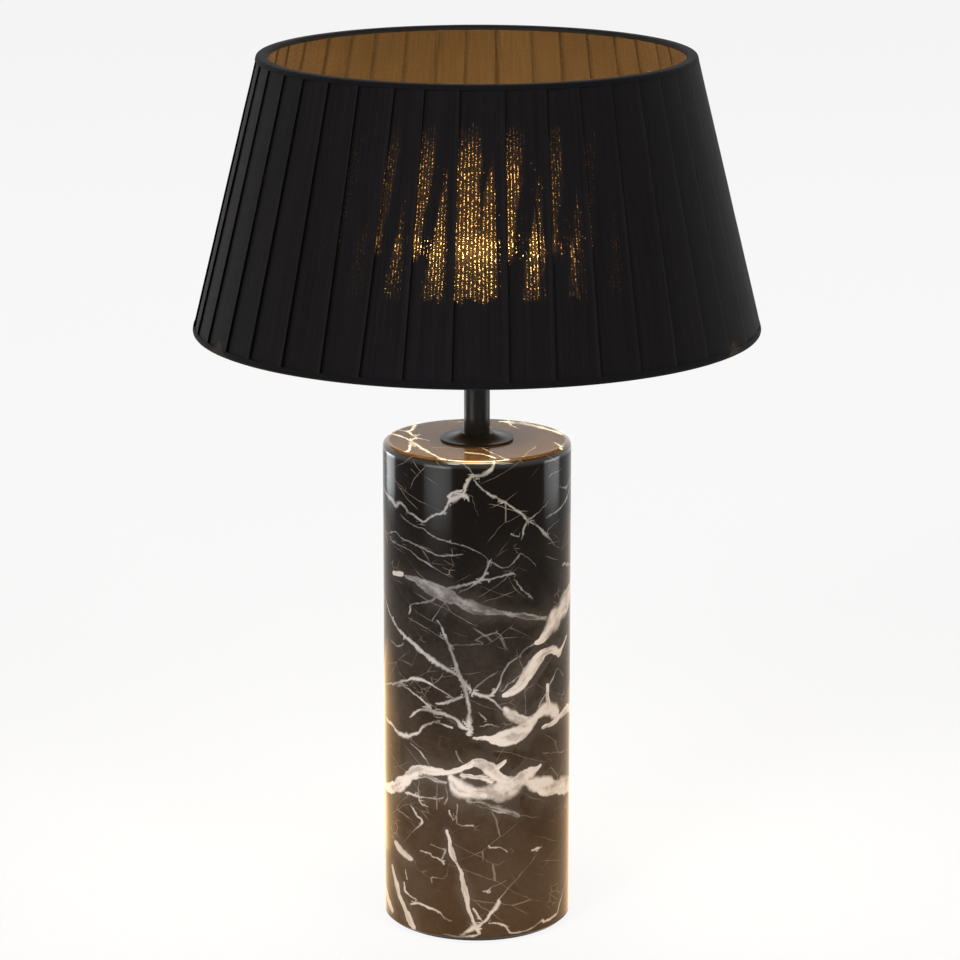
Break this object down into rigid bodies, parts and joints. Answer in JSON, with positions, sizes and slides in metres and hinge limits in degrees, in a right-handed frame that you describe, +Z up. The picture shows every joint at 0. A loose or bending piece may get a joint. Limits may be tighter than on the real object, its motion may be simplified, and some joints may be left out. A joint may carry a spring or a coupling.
{
  "type": "cordless table lamp",
  "caption": "Cordless table lamp: veined black marble column, short black stem, wide black pleated shade with a bronze lining, opal globe bulb, and a rear panel to charge and switch it.",
  "frame": {"origin": "centre of the foot pad's underside, on the surface that the lamp stands on", "axes": "+Z up along the column; the pictured front faces -Y and the charging panel faces +Y"},
  "size_m": [0.3487, 0.3488, 0.55],
  "materials": {
    "marble": "polished",
    "foot": "matt foam pad",
    "plate_steel": "zinc plated",
    "insert_brass": "machined",
    "panel_plastic": "fine texture",
    "switch_plastic": "moulded",
    "board_green": "solder mask",
    "nylon": "nylon",
    "component_dark": "moulded packages",
    "socket_steel": "stamped shell",
    "light_pipe": "clear",
    "pack_plastic": "moulded",
    "cell_can": "shrink-wrapped can",
    "tab_nickel": "nickel strip",
    "lead_sleeve": "insulated wire",
    "pipe_steel": "threaded tube",
    "stem_black": "satin powder coat",
    "holder_black": "moulded",
    "porcelain": "unglazed",
    "contact_brass": "stamped",
    "frame_wire": "black wire",
    "lining_bronze": "bronze woven lining",
    "pleat_black": "pleated woven cloth",
    "binding_black": "tape",
    "opal_glass": "opal, lit warm",
    "bulb_metal": "rolled thread cap",
    "black_glass": "insulator",
    "tip_solder": "contact",
    "clear_glass": "clear",
    "filament": "coated strip",
    "support_wire": "wire"
  },
  "bodies": {
    "base": {"marble_column": "marble", "foot_pad": "foot", "base_plate": "plate_steel", "plate_inserts": "insert_brass", "plate_screws": "plate_steel", "rear_panel": "panel_plastic", "panel_screws": "plate_steel", "control_board": "board_green", "board_standoffs": "nylon", "board_components": "component_dark", "usb_socket": "socket_steel", "usb_tongue": "switch_plastic", "switch_body": "switch_plastic", "status_light": "light_pipe", "battery_tray": "pack_plastic", "battery_cap": "pack_plastic", "battery_tabs": "tab_nickel", "battery_cells": "cell_can", "battery_rods": "plate_steel", "battery_leads": "lead_sleeve", "lamp_pipe": "pipe_steel", "clamp_washer": "pipe_steel", "clamp_nut": "pipe_steel", "lamp_leads": "lead_sleeve", "stem_flange": "stem_black", "stem_tube": "stem_black", "holder_cap": "holder_black", "holder_core": "porcelain", "holder_terminals": "contact_brass", "centre_contact": "contact_brass", "screw_shell": "contact_brass", "holder_skirt": "holder_black", "shade_ring": "holder_black"},
    "button": {"power_button": "panel_plastic", "switch_plunger": "switch_plastic"},
    "shade": {"shade_fitter": "frame_wire", "bottom_ring": "frame_wire", "top_ring": "frame_wire", "frame_struts": "frame_wire", "shade_lining": "lining_bronze", "shade_pleats": "pleat_black", "top_binding": "binding_black", "bottom_binding": "binding_black"},
    "bulb_contact": {"bulb_tip": "tip_solder"},
    "bulb": {"bulb_glass": "opal_glass", "bulb_cap": "bulb_metal", "bulb_insulator": "black_glass", "bulb_mount": "clear_glass", "bulb_filaments": "filament", "bulb_leads": "support_wire"}
  },
  "joints": [
    {"name": "button_press", "type": "slide", "parent": "base", "child": "button", "axis": [0, -1, 0], "range_m": [0, 0.001], "stiffness_N_per_m": 2000},
    {"name": "shade_turn", "type": "hinge", "parent": "base", "child": "shade", "pos_m": [0, 0, 0.3832], "axis": [0, 0, 1], "continuous": true},
    {"name": "bulb_rise", "type": "slide", "parent": "base", "child": "bulb_contact", "axis": [0, 0, 1], "range_m": [0, 0.01452]},
    {"name": "bulb_turn", "type": "hinge", "parent": "bulb_contact", "child": "bulb", "pos_m": [0, 0, 0.398], "axis": [0, 0, 1], "range_deg": [0, 1440]}
  ],
  "couplings": [
    {"joint": "bulb_rise", "follows": "bulb_turn", "m_per_rad": 0.00057757}
  ]
}
